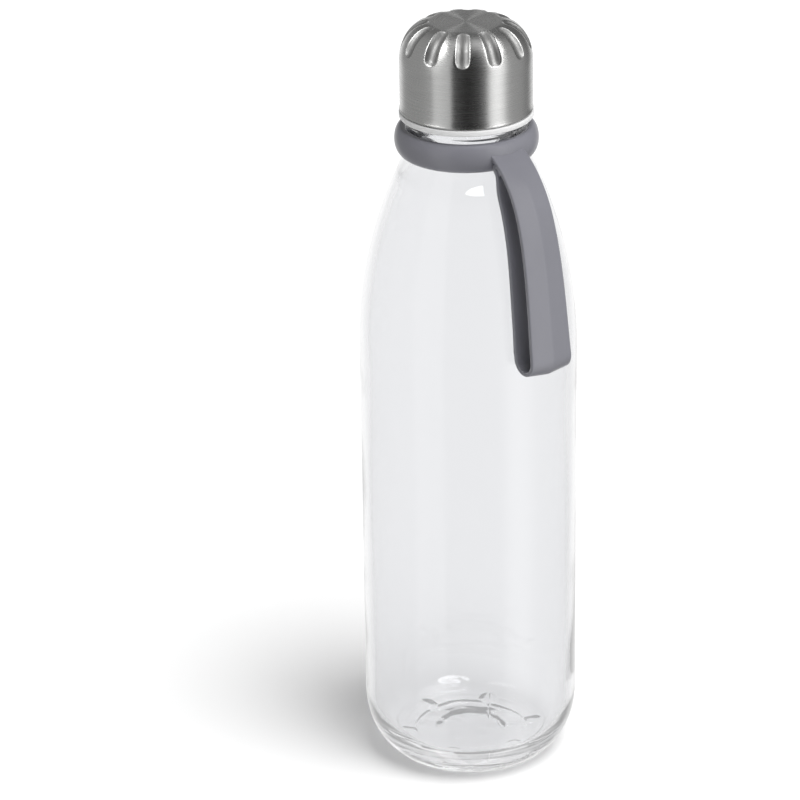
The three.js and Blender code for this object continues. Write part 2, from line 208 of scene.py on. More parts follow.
def lathe(name, outline, turns, shape=None, closed=False):
    """A turned mesh. shape(theta, r, z, row) may move each row's points."""
    columns = len(turns)
    grid = np.zeros((len(outline), columns, 3))
    for row, (r, z) in enumerate(outline):
        radius = np.full(columns, float(r))
        height = np.full(columns, float(z))
        if shape is not None:
            radius, height = shape(turns, radius, height, row)
        grid[row] = np.column_stack([radius * np.cos(turns), radius * np.sin(turns), height])
    vertices, index = [], np.zeros((len(outline), columns), int)
    for row in range(len(outline)):
        if abs(outline[row][0]) < 1e-6:
            index[row] = len(vertices)
            vertices.append([0, 0, grid[row, :, 2].mean()])
        else:
            index[row] = len(vertices) + np.arange(columns)
            vertices.extend(grid[row])
    faces = []
    rows = len(outline)
    for row in range(rows if closed else rows - 1):
        after = (row + 1) % rows
        for column in range(columns):
            beside = (column + 1) % columns
            corners = [
                index[row, column],
                index[row, beside],
                index[after, beside],
                index[after, column],
            ]
            face = [int(c) for i, c in enumerate(corners) if c != corners[i - 1]]
            if len(face) > 2:
                faces.append(face)
    return new_object(name, vertices, faces)


def even_turns(count):
    return np.linspace(0, 2 * math.pi, count, endpoint=False)


def outward(made):
    """Turns a closed mesh's faces outwards."""
    work = bmesh.new()
    work.from_mesh(made.data)
    bmesh.ops.recalc_face_normals(work, faces=work.faces)
    work.to_mesh(made.data)
    work.free()
    return made


def apply_modifiers(made):
    graph = bpy.context.evaluated_depsgraph_get()
    made.data = bpy.data.meshes.new_from_object(made.evaluated_get(graph))
    made.modifiers.clear()
    return made


def thread_height(turns, height, base, z_start, rise, inside=False):
    """Radius of a surface that carries the screw thread's ridges."""
    radius = np.full(len(turns), base)
    for start in range(THREAD_STARTS):
        run = np.mod(turns - 2 * math.pi * start / THREAD_STARTS, 2 * math.pi)
        share = run * THREAD_LEAD / (2 * math.pi) / rise
        fade = np.clip((np.abs(2 * share - 1) - 1 + 2 * THREAD_FADE) / (2 * THREAD_FADE), 0, None)
        offset = height - (z_start + rise * share)
        bulge = np.sqrt(np.clip(THREAD_ROUND**2 - offset**2, 0, None))
        proud = THREAD_DEPTH - THREAD_ROUND + bulge - (THREAD_DEPTH + 0.1) * fade
        proud = np.where((share <= 1) & (bulge > 0), np.clip(proud, 0, None), 0)
        ridge = base - proud if inside else base + proud
        radius = np.minimum(radius, ridge) if inside else np.maximum(radius, ridge)
    return radius


def wave(turns, z, amount, turn_scale, z_scale, seed):
    """Slow unevenness, as blown glass has on its inside."""
    return amount * np.array(
        [
            noise.noise(
                Vector((math.cos(t) * turn_scale, math.sin(t) * turn_scale, h * z_scale + seed))
            )
            for t, h in zip(turns, z)
        ]
    )


# ---- Glass bottle ----
def shoulder_points(low, high, inset, steps):
    inward = BODY_RADIUS - SHOULDER_TOP_RADIUS
    rise = SHOULDER_TOP_Z - SIDE_TOP_Z
    radius = (inward**2 + rise**2) / (2 * inward)
    z = np.linspace(low, high, steps + 1)
    up = np.clip(z - SIDE_TOP_Z, 0, None)
    return np.column_stack([BODY_RADIUS - radius + np.sqrt((radius - inset) ** 2 - up**2), z])


def glass_turns():
    turns = list(even_turns(264))
    for seam in (SEAM_TURN, SEAM_TURN + math.pi):
        for offset in (-0.9, -0.55, -0.3, 0, 0.3, 0.55, 0.9):
            turns.append((seam + math.radians(offset)) % (2 * math.pi))
    return np.array(sorted(turns))


def build_glass():
    foot_in = FOOT_RADIUS - FOOT_WIDTH
    lip = (FINISH_RADIUS - BORE_RADIUS) / 2
    inner_heel = HEEL_RADIAL - WALL / 2
    inner_top = SHOULDER_TOP_Z - 7
    throat_top = NECK_Z + 9
    bead_x = BEAD_RADIUS - BEAD_ROUND
    heel = arc(FOOT_RADIUS, HEEL_HEIGHT, HEEL_RADIAL, HEEL_HEIGHT, -80, 0, 32)
    outer = profile(
        bezier([(0, PUSH_UP), (FOOT_RADIUS / 2, PUSH_UP), (foot_in - 1, 0.55)], 14),
        bezier([(foot_in - 1, 0.55), (foot_in + 0.3, 0), (FOOT_RADIUS - 1.3, 0)], 6),
        bezier([(FOOT_RADIUS - 1.3, 0), (FOOT_RADIUS + 0.4, 0), tuple(heel[0])], 5),
        heel,
        line((BODY_RADIUS, HEEL_HEIGHT), (BODY_RADIUS, SIDE_TOP_Z), 22),
        shoulder_points(SIDE_TOP_Z, NECK_Z - 0.35, 0, 32),
        bezier(
            [
                tuple(shoulder_points(NECK_Z - 0.3, NECK_Z - 0.3, 0, 1)[0]),
                (SHOULDER_TOP_RADIUS - 0.6, NECK_Z - 0.02),
                (NECK_RADIUS + 0.4, NECK_Z),
            ],
            5,
        ),
        line((NECK_RADIUS, NECK_Z + 0.8), (NECK_RADIUS, BEAD_BOTTOM_Z - 0.4), 6),
        arc(bead_x, BEAD_BOTTOM_Z + BEAD_ROUND, BEAD_ROUND, BEAD_ROUND, -90, 0, 6),
        arc(bead_x, BEAD_TOP_Z - BEAD_ROUND, BEAD_ROUND, BEAD_ROUND, 0, 90, 6),
        line((FINISH_RADIUS + 0.4, BEAD_TOP_Z), (FINISH_RADIUS, BEAD_TOP_Z + 0.4), 2),
        line((FINISH_RADIUS, BEAD_TOP_Z + 0.6), (FINISH_RADIUS, LIP_Z - lip), 40),
        arc(BORE_RADIUS + lip, LIP_Z - lip, lip, lip, 0, 90, 8),
    )
    inner = profile(
        arc(BORE_RADIUS + lip, LIP_Z - lip, lip, lip, 90, 180, 8)[1:],
        line((BORE_RADIUS, LIP_Z - lip), (BORE_RADIUS, BEAD_TOP_Z + 2), 4),
        line((BORE_RADIUS, BEAD_TOP_Z + 2), (BORE_RADIUS, throat_top), 40),
        bezier(
            [
                (BORE_RADIUS, throat_top),
                (BORE_RADIUS, inner_top + 7),
                tuple(shoulder_points(inner_top, inner_top, WALL, 1)[0]),
            ],
            16,
        ),
        shoulder_points(inner_top, SIDE_TOP_Z, WALL, 24),
        line((BODY_RADIUS - WALL, SIDE_TOP_Z), (BODY_RADIUS - WALL, HEEL_HEIGHT), 22),
        arc(
            BODY_RADIUS - WALL - inner_heel,
            HEEL_HEIGHT,
            inner_heel,
            HEEL_HEIGHT - FLOOR_THICKNESS,
            0,
            -90,
            26,
        ),
        line((BODY_RADIUS - WALL - inner_heel, FLOOR_THICKNESS), (0, FLOOR_THICKNESS + 0.5), 14),
    )
    outline = np.vstack([outer, inner])
    outside = len(outer)

    def shape(turns, radius, height, row):
        z, r = height[0], radius[0]
        if row < outside:
            if BEAD_TOP_Z + 0.5 < z < LIP_Z - 1:
                radius = thread_height(turns, height, FINISH_RADIUS, THREAD_Z, THREAD_RISE)
            if 2 < z < SHOULDER_TOP_Z:
                for seam in (SEAM_TURN, SEAM_TURN + math.pi):
                    away = np.angle(np.exp(1j * (turns - seam))) * r
                    radius = radius + SEAM_HEIGHT * np.exp(-((away / SEAM_WIDTH) ** 2))
                radius = radius - SKIN_RIPPLE * np.abs(wave(turns, height, 1, 1.4, 0.03, 3.1))
            if z < NOTCH_DEPTH + 0.6 and r > FOOT_RADIUS / 2:
                for notch in range(NOTCHES):
                    turn = NOTCH_TURN + 2 * math.pi * notch / NOTCHES
                    apart = np.angle(np.exp(1j * (turns - turn)))
                    across = radius * np.sin(apart)
                    top = NOTCH_DEPTH - NOTCH_RADIUS + np.sqrt(
                        np.clip(NOTCH_RADIUS**2 - across**2, 0, None)
                    )
                    top = np.where(np.abs(apart) < 0.5, top, -1)
                    inner_end = smoothstep(r, FOOT_RADIUS - NOTCH_START, FOOT_RADIUS - NOTCH_FULL)
                    top = top - 1.3 * (1 - inner_end)
                    blend = np.sqrt((height - top) ** 2 + NOTCH_BLEND**2)
                    height = (height + top + blend - NOTCH_BLEND) / 2
                    height = np.maximum(height, 0)
        elif r > 0:
            if z > throat_top - 6 and z < BEAD_TOP_Z + 2:
                radius = radius + NECK_RIPPLE * wave(turns, height, 1, 0.9, 1.5, 5.5)
            if z > HEEL_HEIGHT and z < inner_top:
                fade = smoothstep(z, HEEL_HEIGHT, HEEL_HEIGHT + 20)
                radius = radius + fade * wave(turns, height, SIDE_RIPPLE, 1.1, 0.016, 7.7)
            elif z <= HEEL_HEIGHT:
                share = smoothstep(r, 2, 14)
                height = height + share * wave(turns, radius, FLOOR_RIPPLE, 1.7, 0.05, 1.3)
        return radius, height

    return lathe("bottle_glass", outline, glass_turns(), shape)


# ---- Steel cap ----
def build_cap():
    edge = np.radians(np.linspace(90, 0, 79))
    side_low = SHELL_BOTTOM_Z + HEM_HEIGHT
    outline = profile(
        [(SHELL_RADIUS, SHELL_BOTTOM_Z)],
        arc(SHELL_RADIUS, SHELL_BOTTOM_Z + 0.35, HEM_PROUD, 0.33, -60, 60, 5),
        line((SHELL_RADIUS, side_low), (SHELL_RADIUS, APEX_Z - CROWN_DROP - 0.25), 8),
        np.column_stack(
            [
                CROWN_RADIUS + CROWN_EDGE * np.sin(edge),
                APEX_Z - CROWN_DROP * (1 - np.cos(edge)),
            ]
        ),
        line((CROWN_RADIUS - 0.6, APEX_Z), (0, APEX_Z), 8),
    )
    turns = even_turns(480) + FLUTE_TURN

    def shape(turns, radius, height, row):
        r, z = radius[0], height[0]
        if r < CROWN_RADIUS + 0.2 or z < APEX_Z - CROWN_DROP:
            return radius, height
        angle = math.asin(min(1.0, (r - CROWN_RADIUS) / CROWN_EDGE))
        along = (angle - FLUTE_FROM) / (FLUTE_TO - FLUTE_FROM)
        full = FLUTE_DEPTH_INNER + FLUTE_DEEPENS * min(1.0, max(0.0, along))
        depth = full * (1 - (2 * along - 1) ** 6)
        nearest = np.mod(turns - FLUTE_TURN + math.pi / FLUTES, 2 * math.pi / FLUTES)
        across = (nearest - math.pi / FLUTES) * r
        dip = np.sqrt(np.clip(FLUTE_RADIUS**2 - across**2, 0.01, None)) - (FLUTE_RADIUS - depth)
        dip = np.clip(dip, -2.0, None)
        dip = (dip + np.sqrt(dip**2 + FLUTE_BLEND**2)) / 2
        dip = np.where(dip < 0.004, 0, dip)
        normal = np.array([math.sin(angle) / CROWN_EDGE, math.cos(angle) / CROWN_DROP])
        normal /= np.linalg.norm(normal)
        return radius - normal[0] * dip, height - normal[1] * dip

    cap = lathe("steel_cap", outline, turns, shape)
    # Marks the flutes, where the steel is less finely brushed and its colour is darkened as
    # painted shade.
    attribute = cap.data.attributes.new("flute", "FLOAT", "POINT")
    co = np.zeros(len(cap.data.vertices) * 3)
    cap.data.vertices.foreach_get("co", co)
    co = co.reshape(-1, 3) / MM
    r = np.hypot(co[:, 0], co[:, 1])
    ideal = ((r - CROWN_RADIUS) / CROWN_EDGE) ** 2 + (
        (co[:, 2] - APEX_Z + CROWN_DROP) / CROWN_DROP
    ) ** 2
    inside = (r > CROWN_RADIUS) & (co[:, 2] > APEX_Z - CROWN_DROP)
    dip = np.where(inside, (1 - np.sqrt(ideal)) * CROWN_EDGE, 0)
    attribute.data.foreach_set("value", smoothstep(dip, 0.05, 0.3).astype(np.float32))
    thicken = cap.modifiers.new("wall", "SOLIDIFY")
    thicken.thickness = SHELL_WALL * MM
    thicken.offset = -1
    thicken.use_even_offset = False
    outward(cap)
    apply_modifiers(cap)
    return cap


# ---- Liner and gasket ----
def build_liner():
    rim_round = 0.5
    rim_x = RIM_RADIUS - rim_round
    boss_bore = BOSS_RADIUS - BOSS_WALL
    boss_top = APEX_Z - 2.2
    outline = profile(
        line((0, PLATE_BOTTOM_Z), (LINER_BORE - 0.5, PLATE_BOTTOM_Z), 8),
        arc(LINER_BORE - 0.5, PLATE_BOTTOM_Z - 0.5, 0.5, 0.5, 90, 0, 3),
        line((LINER_BORE, PLATE_BOTTOM_Z - 0.8), (LINER_BORE, RIM_BOTTOM_Z + 0.6), 46),
        arc(LINER_BORE + 0.4, RIM_BOTTOM_Z + 0.4, 0.4, 0.4, 180, 270, 3),
        arc(rim_x, RIM_BOTTOM_Z + rim_round, rim_round, rim_round, -90, 0, 5),
        arc(rim_x, RIM_TOP_Z - rim_round, rim_round, rim_round, 0, 90, 5),
        line((LINER_RADIUS + 0.3, RIM_TOP_Z), (LINER_RADIUS, RIM_TOP_Z + 0.3), 1),
        line((LINER_RADIUS, RIM_TOP_Z + 0.6), (LINER_RADIUS, PLATE_TOP_Z - 0.4), 6),
        line((LINER_RADIUS - 0.4, PLATE_TOP_Z), (BOSS_RADIUS + 0.4, PLATE_TOP_Z), 4),
        line((BOSS_RADIUS, PLATE_TOP_Z + 0.4), (BOSS_RADIUS, boss_top), 3),
        line((boss_bore, boss_top), (boss_bore, PLATE_TOP_Z + 0.4), 3),
        line((boss_bore - 0.4, PLATE_TOP_Z), (0, PLATE_TOP_Z), 3),
    )

    def shape(turns, radius, height, row):
        z, r = height[0], radius[0]
        if abs(r - LINER_BORE) < 1e-6 and z < PLATE_BOTTOM_Z - 0.6 and row < 70:
            pitch = THREAD_LEAD / THREAD_STARTS / 2
            radius = thread_height(
                turns, height, LINER_BORE, THREAD_Z + pitch, LINER_THREAD_RISE, inside=True
            )
        return radius, height

    liner = lathe("cap_liner", outline, even_turns(240), shape)
    work = bmesh.new()
    work.from_mesh(liner.data)
    reach = (BOSS_RADIUS - 0.7, LINER_RADIUS - 0.4)
    for rib in range(RIBS):
        turn = 2 * math.pi * rib / RIBS
        size = Vector((reach[1] - reach[0], RIB_THICKNESS, RIB_HEIGHT)) * MM
        centre = Vector((sum(reach) / 2, 0, PLATE_TOP_Z + 2.7)) * MM
        place = (
            Matrix.Rotation(turn, 4, "Z")
            @ Matrix.Translation(centre)
            @ Matrix.Diagonal((*size, 1))
        )
        made = bmesh.ops.create_cube(work, size=1, matrix=place)
        edges = {e for v in made["verts"] for e in v.link_edges}
        bmesh.ops.bevel(
            work, geom=list(edges), offset=0.2 * MM, segments=2, affect="EDGES", profile=0.5
        )
    work.to_mesh(liner.data)
    work.free()
    return outward(liner)


def build_seal():
    outer = gasket_high.x
    inner = outer - SEAL_WIDTH
    low, high = gasket_low.z, gasket_high.z
    bevel = 0.3
    outline = profile(
        arc(inner + bevel, low + bevel, bevel, bevel, 180, 270, 3),
        arc(outer - bevel, low + bevel, bevel, bevel, 270, 360, 3),
        arc(outer - bevel, high - bevel, bevel, bevel, 0, 90, 3),
        arc(inner + bevel, high - bevel, bevel, bevel, 90, 180, 3),
    )
    return outward(lathe("cap_seal", outline, even_turns(160), closed=True))


# ---- Silicone collar and carry loop ----
def build_collar():
    inner = NECK_RADIUS + CLEARANCE
    seat = BEAD_RADIUS + 0.12
    low, high = ring_low.z, ring_high.z + 0.3
    middle = (low + high) / 2
    half = (high - low) / 2
    seat_z = high - 1.3
    outline = profile(
        arc(inner + 0.4, low + 0.4, 0.4, 0.4, 180, 270, 3),
        arc(RING_RADIUS - RING_BULGE, middle, RING_BULGE, half, -90, 90, 30),
        arc(seat + 0.25, high - 0.25, 0.25, 0.25, 90, 180, 3),
        line((seat, seat_z + 0.2), (seat - 0.2, seat_z), 1),
        line((inner + 0.2, seat_z), (inner, seat_z - 0.2), 1),
        line((inner, seat_z - 1), (inner, low + 1), 4),
    )

    def shape(turns, radius, height, row):
        # A fine parting line runs up the collar from the root of the loop.
        apart = np.angle(np.exp(1j * (turns - STRAP_TURN))) * RING_RADIUS
        z = height[0]
        if radius[0] > RING_RADIUS - RING_BULGE + 0.2:
            width, depth = RING_PARTING
            radius = radius - depth * np.exp(-((apart / width) ** 2)) * (1 if z > middle else 0)
        return radius, height

    turns = list(even_turns(240))
    for offset in (-0.5, -0.3, -0.15, 0, 0.15, 0.3, 0.5):
        turns.append((STRAP_TURN + offset / RING_RADIUS) % (2 * math.pi))
    turns = np.array(sorted(set(np.round(turns, 6))))
    return outward(lathe("collar", outline, turns, shape, closed=True))


def way(degrees):
    """The direction at this angle in the (r, z) plane."""
    return np.array([math.cos(math.radians(degrees)), math.sin(math.radians(degrees))])


def loop_line():
    """The loop's middle line in (r, z): from the collar down the outer strand, round the lower
    bend and up the inner strand to the knuckle."""
    gap = CLEARANCE + STRAP_THICKNESS / 2
    pivot = np.array([PIVOT_R, PIVOT_Z])
    root_way, knee_way = way(ROOT_SLOPE), way(KNEE_SLOPE)
    root = pivot + np.array(ROOT_FROM_PIVOT)
    bend = np.array([BODY_RADIUS + gap + LOOP_BEND, PIVOT_Z - LOOP_LENGTH])
    bend_start = bend + LOOP_BEND * way(LOOP_LEAN)
    bend_way = way(LOOP_LEAN - 90)
    knee = np.array([bend_start[0] - KNEE_IN, PIVOT_Z - KNEE_DOWN])
    lead_in = line(root - 1.9 * root_way, root - 0.4 * root_way, 4)
    over = bezier([root, root + ROOT_HOLD * root_way, knee - ROOT_HOLD * knee_way, knee], 30)
    strand = bezier(
        [knee, knee + STRAND_HOLD * knee_way, bend_start - STRAND_HOLD * bend_way, bend_start], 34
    )
    turns = np.radians(np.linspace(LOOP_LEAN, -180, 26))
    round_bend = bend + LOOP_BEND * np.column_stack([np.cos(turns), np.sin(turns)])
    glass_side = shoulder_points(bend[1], PIVOT_Z - LEAVES_GLASS, 0, 40) + np.array([gap, 0])
    glass_side[:, 0] += STAND_OFF * smoothstep(
        glass_side[:, 1], PIVOT_Z - STAND_OFF_FROM, PIVOT_Z - STAND_OFF_TO
    )
    end = pivot + np.array(END_FROM_PIVOT)
    slope = (glass_side[-1] - glass_side[-2]) / np.linalg.norm(glass_side[-1] - glass_side[-2])
    finish = bezier([glass_side[-1], glass_side[-1] + 4 * slope, end + 3 * way(-40), end], 12)
    return profile(lead_in, over, strand[1:], round_bend[1:], glass_side[1:], finish[1:])


def strap_section(half, ridge, thickness):
    """Corners of the band's section as (across, outwards), edges rounded."""
    t = thickness / 2
    edge = 0.42
    right_in = arc(half - edge, -t + edge, edge, edge, -90, 0, 4)
    right_out = arc(half - edge, t - edge, edge, edge, 0, 90, 4)
    crown = []
    for share in (0.9, 0.7, 0.4, 0.16, 0.06, 0, -0.06, -0.16, -0.4, -0.7, -0.9):
        rise = ridge * (1 - math.sqrt(share**2 + 0.0009) + 0.03)
        crown.append((share * (half - edge), t + max(0, rise)))
    left_out = arc(-half + edge, t - edge, edge, edge, 90, 180, 4)
    left_in = arc(-half + edge, -t + edge, edge, edge, 180, 270, 4)
    under = [(share * (half - edge), -t) for share in (-0.5, 0, 0.5)]
    return np.vstack([right_in, right_out, crown, left_out, left_in, under])


def build_strap():
    path = loop_line()
    count = len(path)
    ways = np.gradient(path, axis=0)
    ways /= np.linalg.norm(ways, axis=1)[:, None]
    out = np.column_stack([-ways[:, 1], ways[:, 0]])
    bend_z = PIVOT_Z - LOOP_LENGTH
    rings = []
    for i in range(count):
        down = min(1.0, max(0.0, (PIVOT_Z - path[i, 1]) / LOOP_LENGTH))
        half = (ROOT_WIDTH + (LOOP_WIDTH - ROOT_WIDTH) * down) / 2
        from_root = smoothstep(path[i, 0] - PIVOT_R, 1.5, 8)
        above = 0 if path[i, 1] > bend_z and out[i, 0] < 0 else 1
        ridge = STRAP_RIDGE * from_root * above * smoothstep(out[i, 0], -1, 0.2)
        section = strap_section(half, float(ridge), STRAP_THICKNESS)
        rings.append(
            np.column_stack(
                [
                    path[i, 0] + out[i, 0] * section[:, 1],
                    section[:, 0],
                    path[i, 1] + out[i, 1] * section[:, 1],
                ]
            )
        )
    sides = len(rings[0])
    vertices = np.vstack(rings)
    faces = []
    for i in range(count - 1):
        for j in range(sides):
            k = (j + 1) % sides
            faces.append([i * sides + j, i * sides + k, (i + 1) * sides + k, (i + 1) * sides + j])
    faces.append(list(range(sides)))
    faces.append([(count - 1) * sides + j for j in range(sides)])
    band = outward(new_object("carry_strap", vertices, faces))

    # The knuckle that both strands grow from, half sunk in the collar.
    work = bmesh.new()
    bmesh.ops.create_cone(
        work,
        cap_ends=True,
        segments=40,
        radius1=KNUCKLE_RADIUS * MM,
        radius2=KNUCKLE_RADIUS * MM,
        depth=(ROOT_WIDTH - 0.8) * MM,
        matrix=Matrix.Translation((PIVOT_R * MM, 0, PIVOT_Z * MM))
        @ Matrix.Rotation(math.radians(90), 4, "X"),
    )
    mesh = bpy.data.meshes.new("knuckle")
    work.to_mesh(mesh)
    work.free()
    knuckle = bpy.data.objects.new("knuckle", mesh)
    bpy.context.scene.collection.objects.link(knuckle)
    union = band.modifiers.new("knuckle", "BOOLEAN")
    union.operation, union.solver, union.object = "UNION", "EXACT", knuckle
    union.use_self = True
    apply_modifiers(band)
    bpy.data.objects.remove(knuckle)
    band.data.transform(Matrix.Rotation(STRAP_TURN, 4, "Z"))
    band.data.polygons.foreach_set("use_smooth", [True] * len(band.data.polygons))
    band.data.set_sharp_from_angle(angle=math.radians(50))
    return band


# ---- Material helpers ----
class Nodes:
    """A material and short names for making and joining its nodes."""

    def __init__(self, name):
        self.material = bpy.data.materials.new(name)
        self.material.use_nodes = True
        self.tree = self.material.node_tree
        self.surface = self.tree.nodes["Principled BSDF"]
        self.output = self.tree.nodes["Material Output"]

    def add(self, kind, **values):
        node = self.tree.nodes.new(kind)
        for key, value in values.items():
            if hasattr(node, key):
                setattr(node, key, value)
            else:
                node.inputs[key.replace("_", " ")].default_value = value
        return node

    def join(self, source, target):
        self.tree.links.new(source, target)

    def math(self, operation, a, b=None):
        node = self.add("ShaderNodeMath", operation=operation)
        for slot, value in zip(node.inputs, (a, b)):
            if value is None:
                continue
            if isinstance(value, (int, float)):
                slot.default_value = value
            else:
                self.join(value, slot)
        return node.outputs[0]

    def noise(self, vector, scale, detail=3, rough=0.5):
        node = self.add("ShaderNodeTexNoise", Scale=scale, Detail=detail, Roughness=rough)
        self.join(vector, node.inputs["Vector"])
        return node.outputs["Fac"]

    def ramp(self, value, low, high, to_low, to_high):
        node = self.add("ShaderNodeMapRange", clamp=True)
        self.join(value, node.inputs["Value"])
        for name, number in zip(
            ("From Min", "From Max", "To Min", "To Max"), (low, high, to_low, to_high)
        ):
            node.inputs[name].default_value = number
        return node.outputs["Result"]

    def bump(self, height, strength, distance, normal=None):
        node = self.add("ShaderNodeBump", Strength=strength, Distance=distance)
        self.join(height, node.inputs["Height"])
        if normal is not None:
            self.join(normal, node.inputs["Normal"])
        return node.outputs["Normal"]

    def mix_colour(self, share, a, b):
        node = self.add("ShaderNodeMix", data_type="RGBA")
        self.join(share, node.inputs[0])
        node.inputs[6].default_value = (*a, 1)
        node.inputs[7].default_value = (*b, 1)
        return node.outputs[2]

    def place(self):
        return self.add("ShaderNodeTexCoord").outputs["Object"]

    def set(self, **values):
        for key, value in values.items():
            self.surface.inputs[key.replace("_", " ")].default_value = value


def glass_material():
    n = Nodes("clear soda glass")
    place = n.place()
    n.set(Base_Color=(0.905, 0.908, 0.918, 1), IOR=1.51, Transmission_Weight=1.0)
    haze = n.noise(place, 60, 2)
    n.join(n.ramp(haze, 0.35, 0.75, 0.0, 0.018), n.surface.inputs["Roughness"])
    slow = n.noise(place, 28, 1)
    n.join(n.bump(slow, 0.25, 0.0012), n.surface.inputs["Normal"])
    path = n.add("ShaderNodeLightPath")
    clear = n.add("ShaderNodeBsdfTransparent")
    facing = n.add("ShaderNodeLayerWeight", Blend=0.35)
    n.join(
        n.mix_colour(facing.outputs["Facing"], (0.86, 0.86, 0.86), (0.3, 0.3, 0.3)),
        clear.inputs["Color"],
    )
    # Painted glow: a ray that has turned more than eight times inside the glass ends on a plain
    # white emission, which stands in for light lost there.
    deep = n.add("ShaderNodeMixShader")
    glow = n.add("ShaderNodeEmission", Strength=0.42)
    n.join(n.math("GREATER_THAN", path.outputs["Ray Depth"], 8.5), deep.inputs[0])
    n.join(n.surface.outputs[0], deep.inputs[1])
    n.join(glow.outputs[0], deep.inputs[2])
    mix = n.add("ShaderNodeMixShader")
    n.join(path.outputs["Is Shadow Ray"], mix.inputs[0])
    n.join(deep.outputs[0], mix.inputs[1])
    n.join(clear.outputs[0], mix.inputs[2])
    n.join(mix.outputs[0], n.output.inputs["Surface"])
    return n.material


def round_place(n):
    """Coordinates that run round the axis slowly and along the surface quickly."""
    parts = n.add("ShaderNodeSeparateXYZ")
    n.join(n.place(), parts.inputs[0])
    x, y, z = parts.outputs
    radius = n.math("SQRT", n.math("ADD", n.math("MULTIPLY", x, x), n.math("MULTIPLY", y, y)))
    safe = n.math("MAXIMUM", radius, 0.0004)
    around_x = n.math("DIVIDE", x, safe)
    around_y = n.math("DIVIDE", y, safe)
    along = n.math("SUBTRACT", z, radius)
    return around_x, around_y, along


def streaks(n, coordinates, turn_scale, along_scale, detail):
    around_x, around_y, along = coordinates
    joined = n.add("ShaderNodeCombineXYZ")
    n.join(n.math("MULTIPLY", around_x, turn_scale), joined.inputs[0])
    n.join(n.math("MULTIPLY", around_y, turn_scale), joined.inputs[1])
    n.join(n.math("MULTIPLY", along, along_scale), joined.inputs[2])
    return n.noise(joined.outputs[0], 1.0, detail, 0.6)


def steel_material():
    """Steel brushed round the axis, rougher inside the pressed flutes, whose colour is darkened
    as painted shade.
    """
    n = Nodes("brushed stainless steel")
    n.set(Metallic=1.0, Anisotropic_Rotation=0.25)
    coordinates = round_place(n)
    fine = streaks(n, coordinates, 2.2, 4200.0, 4)
    broad = streaks(n, coordinates, 1.4, 1700.0, 3)
    flute = n.add("ShaderNodeAttribute", attribute_name="flute").outputs["Fac"]
    rough = n.ramp(broad, 0.3, 0.7, 0.24, 0.31)
    rough = n.math("MULTIPLY", rough, n.math("ADD", 1.0, n.math("MULTIPLY", flute, 0.8)))
    n.join(
        n.math("SUBTRACT", 0.95, n.math("MULTIPLY", flute, 0.5)),
        n.surface.inputs["Anisotropic"],
    )
    n.join(rough, n.surface.inputs["Roughness"])
    brushed = n.mix_colour(fine, (0.52, 0.52, 0.515), (0.72, 0.72, 0.71))
    # Painted shade: the colour inside the flutes is darkened, which tones down their highlights.
    flute_painted_shade = n.add("ShaderNodeMix", data_type="RGBA", blend_type="MULTIPLY")
    n.join(flute, flute_painted_shade.inputs[0])
    n.join(brushed, flute_painted_shade.inputs[6])
    flute_painted_shade.inputs[7].default_value = (0.62, 0.62, 0.62, 1)
    n.join(flute_painted_shade.outputs[2], n.surface.inputs["Base Color"])
    scratches = n.add("ShaderNodeBump", Distance=0.00002)
    n.join(fine, scratches.inputs["Height"])
    n.join(
        n.math("MULTIPLY", n.math("SUBTRACT", 1.0, flute), 0.55), scratches.inputs["Strength"]
    )
    n.join(scratches.outputs["Normal"], n.surface.inputs["Normal"])
    tangent = n.add("ShaderNodeTangent", direction_type="RADIAL", axis="Z")
    n.join(tangent.outputs[0], n.surface.inputs["Tangent"])
    return n.material


def moulded_material(name, dark, light, roughness, grain, **sockets):
    """A moulded plastic or rubber with a fine satin grain."""
    n = Nodes(name)
    n.set(**sockets)
    place = n.place()
    cloud = n.noise(place, 90, 3)
    speck = n.noise(place, grain, 2)
    n.join(n.mix_colour(cloud, dark, light), n.surface.inputs["Base Color"])
    n.join(
        n.ramp(speck, 0.3, 0.7, roughness - 0.01, roughness + 0.01), n.surface.inputs["Roughness"]
    )
    soft = n.bump(cloud, 0.08, 0.0004)
    n.join(n.bump(speck, 0.01, 0.00001, soft), n.surface.inputs["Normal"])
    return n.material


def floor_material():
    """A pale matt floor with a painted glow: where it is seen through the glass, a plain white
    emission is mixed in.
    """
    n = Nodes("pale floor")
    tone = n.noise(n.place(), 3, 2)
    n.join(
        n.mix_colour(tone, (0.86, 0.86, 0.86), (0.88, 0.88, 0.88)), n.surface.inputs["Base Color"]
    )
    n.set(Roughness=0.9, Specular_IOR_Level=0.0)
    # Painted glow: a ray that reaches the floor through the glass sees it partly as white
    # emission.
    path = n.add("ShaderNodeLightPath")
    glow = n.add("ShaderNodeEmission", Strength=1.0)
    mix = n.add("ShaderNodeMixShader")
    n.join(n.math("MULTIPLY", path.outputs["Is Transmission Ray"], 0.75), mix.inputs[0])
    n.join(n.surface.outputs[0], mix.inputs[1])
    n.join(glow.outputs[0], mix.inputs[2])
    n.join(mix.outputs[0], n.output.inputs["Surface"])
    return n.material


